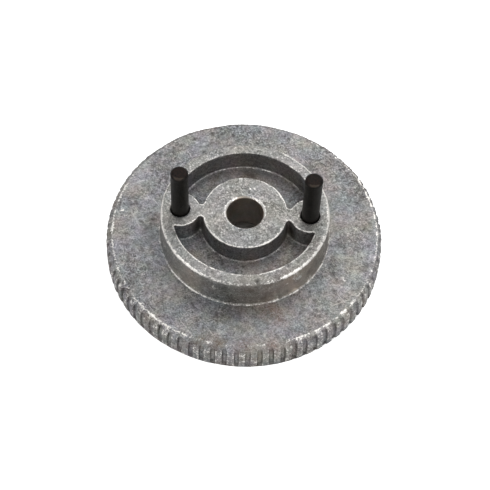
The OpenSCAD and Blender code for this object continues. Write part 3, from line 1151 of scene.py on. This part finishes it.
def die_cast_material(grain, tarnish, worn_and_highlit):
    """Grey tumbled die casting: mottled skin with pits, flecks and scratches, lighter on the
    rubbed raised faces, bright worn edges with painted highlights, grime with painted shade in
    corners, holes and grooves, painted sheen on the ring's wall, and brown stains."""
    material, n, place = new_material("die_cast_metal")
    wear, grime, tooled, rubbed, stain = (n.mark(mark) for mark in MARKS)
    skin = n.group(grain, Vector=place, Grain=1.0)
    dark = n.mix(rubbed, SKIN_DARK, RUBBED_DARK)
    light = n.mix(rubbed, SKIN_LIGHT, RUBBED_LIGHT)
    base = n.mix(n.ramp(skin["Tone"], 0.37, 0.63), dark, light)
    base = n.mix(n.times(skin["Pits"], 0.5), base, PIT_GREY)
    base = n.mix(n.times(skin["Flecks"], n.ramp(rubbed, 0, 1, 0.32, 0.8)), base, FLECK_GREY)
    base = n.mix(n.times(skin["Scratches"], 0.6), base, SCRATCH_GREY)
    # turned metal on tooled faces, and painted sheen on the ring's wall
    base = n.mix(n.times(tooled, 0.8), base, TURNED_METAL_AND_SHEEN)
    # near-black for grime, and for the painted shade in corners, holes, grooves and the bore
    base = n.mix(n.times(grime, 0.8), base, GRIME_AND_SHADE_BLACK)
    blotch = n.group(grain, Vector=place, Grain=0.8)["Tone"]
    stained = n.times(stain, n.ramp(blotch, 0.4, 0.6, 0.25, 1.0))
    base = n.mix(n.times(stained, 0.7), base, STAIN_BROWN)
    warmth = n.ramp(rubbed, 0, 1, -0.01, 0.02)
    near = n.group(tarnish, Vector=place, Patch=2.6, Warmth=warmth)["Tint"]
    base = n.mix(n.ramp(rubbed, 0, 1, 1.0, 0.45), base, near, "MULTIPLY")
    far = n.group(tarnish, Vector=place, Patch=8.0, Warmth=0.0)["Tint"]
    base = n.mix(0.35, base, far, "MULTIPLY")
    edge = n.group(worn_and_highlit, Vector=place, Mark=wear, Break=4.2)["Mask"]
    # bare metal on worn edges, and painted highlights
    base = n.mix(edge, base, BARE_METAL_AND_HIGHLIGHT)
    rough = n.ramp(skin["Tone"], 0.3, 0.7, 0.6, 0.46)
    polished = n.weighted([(tooled, 0.15), (edge, 0.1)])
    n.finish(base, n.math("SUBTRACT", rough, polished), 1.0, skin["Height"], 0.5, 0.12)
    return material


def black_pin_material(grain, tarnish, worn_and_highlit):
    """Black oxide on ground steel, rubbed thin on the bevel and browned on top, with a painted
    highlight at the front of the bevel.
    """
    material, n, place = new_material("black_steel_pin")
    skin = n.group(grain, Vector=place, Grain=0.7)
    base = n.mix(n.ramp(skin["Tone"], 0.36, 0.64), OXIDE_DARK, OXIDE_LIGHT)
    browned = n.times(n.mark("stain"), n.ramp(skin["Tone"], 0.4, 0.6))
    base = n.mix(browned, base, OXIDE_BROWN)
    edge = n.group(worn_and_highlit, Vector=place, Mark=n.mark("wear"), Break=1.5)["Mask"]
    base = n.mix(n.times(edge, 0.4), base, THIN_OXIDE_AND_GLINT)
    tint = n.group(tarnish, Vector=place, Patch=0.8, Warmth=0.08)["Tint"]
    base = n.mix(1.0, base, tint, "MULTIPLY")
    rough = n.ramp(skin["Tone"], 0.36, 0.64, 0.5, 0.4)
    shader = n.finish(base, rough, 0.5, skin["Height"], 0.3, 0.04)
    n.put(shader["Specular IOR Level"], 0.22)
    return material


# ---------------------------------------------------------------------------
# Stage
# ---------------------------------------------------------------------------

def camera():
    """Long-lens camera that looks down on the pins' side of the disc: on a sphere round the
    origin, rolled a little, and moved aside and up in its own plane. Sizes in millimetres."""
    distance, lens = 206.03, 103.08
    azimuth, elevation, roll = (math.radians(v) for v in (0.32, 57.45, 2.69))
    aside, above = 0.2025, 0.135
    back = Vector((math.sin(azimuth) * math.cos(elevation),
                   -math.cos(azimuth) * math.cos(elevation), math.sin(elevation)))
    level = Vector((math.cos(azimuth), math.sin(azimuth), 0))
    upright = back.cross(level)
    right = level * math.cos(roll) + upright * math.sin(roll)
    up = upright * math.cos(roll) - level * math.sin(roll)
    place = right * aside + up * above + back * distance
    data = bpy.data.cameras.new("camera")
    data.lens, data.sensor_width = lens, 36
    data.clip_start, data.clip_end = 0.01, 10
    made = bpy.data.objects.new("camera", data)
    turn = Matrix((right, up, back)).transposed().to_4x4()
    made.matrix_world = Matrix.Translation(place * MM) @ turn
    bpy.context.scene.collection.objects.link(made)
    bpy.context.scene.camera = made


def floor():
    """Plain pale floor under the back face. Clear of the disc it glows for the camera alone,
    so that it reads as plain white there and still takes the shade under the disc, where its
    colour is also painted darker as painted shade."""
    material, n, place = new_material("pale_floor")
    shader = material.node_tree.nodes["Principled BSDF"].inputs
    seen = n.new("ShaderNodeLightPath").outputs["Is Camera Ray"]
    reach = n.new("ShaderNodeVectorMath", {0: place}, operation="LENGTH").outputs["Value"]
    clear = n.ramp(reach, (RIM_R - 0.3) * MM, (RIM_R + 0.15) * MM)
    # painted shade: the floor's colour is darker under the disc
    out_of_painted_shade = n.ramp(reach, 8 * MM, (RIM_R - 1) * MM)
    n.put(shader["Base Color"], n.mix(out_of_painted_shade, (0.7, 0.7, 0.7, 1), (0.88, 0.88, 0.88, 1)))
    n.put(shader["Roughness"], 0.9)
    n.put(shader["Emission Color"], (1, 1, 1, 1))
    n.put(shader["Emission Strength"], n.times(seen, clear))
    half = 1.5
    mesh = bpy.data.meshes.new("floor")
    corners = [(-half, -half, 0), (half, -half, 0), (half, half, 0), (-half, half, 0)]
    mesh.from_pydata(corners, [], [(0, 1, 2, 3)])
    mesh.materials.append(material)
    made = bpy.data.objects.new("floor", mesh)
    bpy.context.scene.collection.objects.link(made)


def softbox(name, place, size, power):
    """Square area light that faces the origin, with its place and size in metres."""
    data = bpy.data.lights.new(name, "AREA")
    data.size, data.energy = size, power
    made = bpy.data.objects.new(name, data)
    made.location = place
    made.rotation_euler = (-Vector(place)).to_track_quat("-Z", "Y").to_euler()
    bpy.context.scene.collection.objects.link(made)


def lights():
    """Soft studio light: a bright world, a window behind, a box overhead, and one at each
    front side."""
    world = bpy.data.worlds.new("studio")
    world.use_nodes = True
    background = world.node_tree.nodes["Background"]
    background.inputs["Color"].default_value = (1, 1, 1, 1)
    background.inputs["Strength"].default_value = 0.56
    bpy.context.scene.world = world
    softbox("window", (0.15, 0.5, 0.6), 0.6, 1.33)
    softbox("overhead", (0.05, -0.2, 0.75), 0.45, 0.3)
    softbox("right", (0.45, -0.3, 0.36), 0.32, 0.7)
    softbox("left", (-0.48, -0.3, 0.36), 0.3, 0.52)


def main():
    """Builds the pieces, gives them their finish and sets the stage."""
    effects = cast_grain_group(), tarnish_group(), edge_wear_and_highlight_group()
    metal, black = die_cast_material(*effects), black_pin_material(*effects)
    body = casting()
    body.data.materials.append(metal)
    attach(body, "root")
    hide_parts("flywheel_casting")
    for side, word in ((-1, "left"), (1, "right")):
        pin = clutch_pin("clutch_pin_skin_" + word, side, 20 + side)
        pin.data.materials.append(black)
        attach(pin, "root")
        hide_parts("clutch_pin_" + word)
    camera()
    floor()
    lights()
    bpy.context.scene.view_settings.view_transform = "Standard"


main()
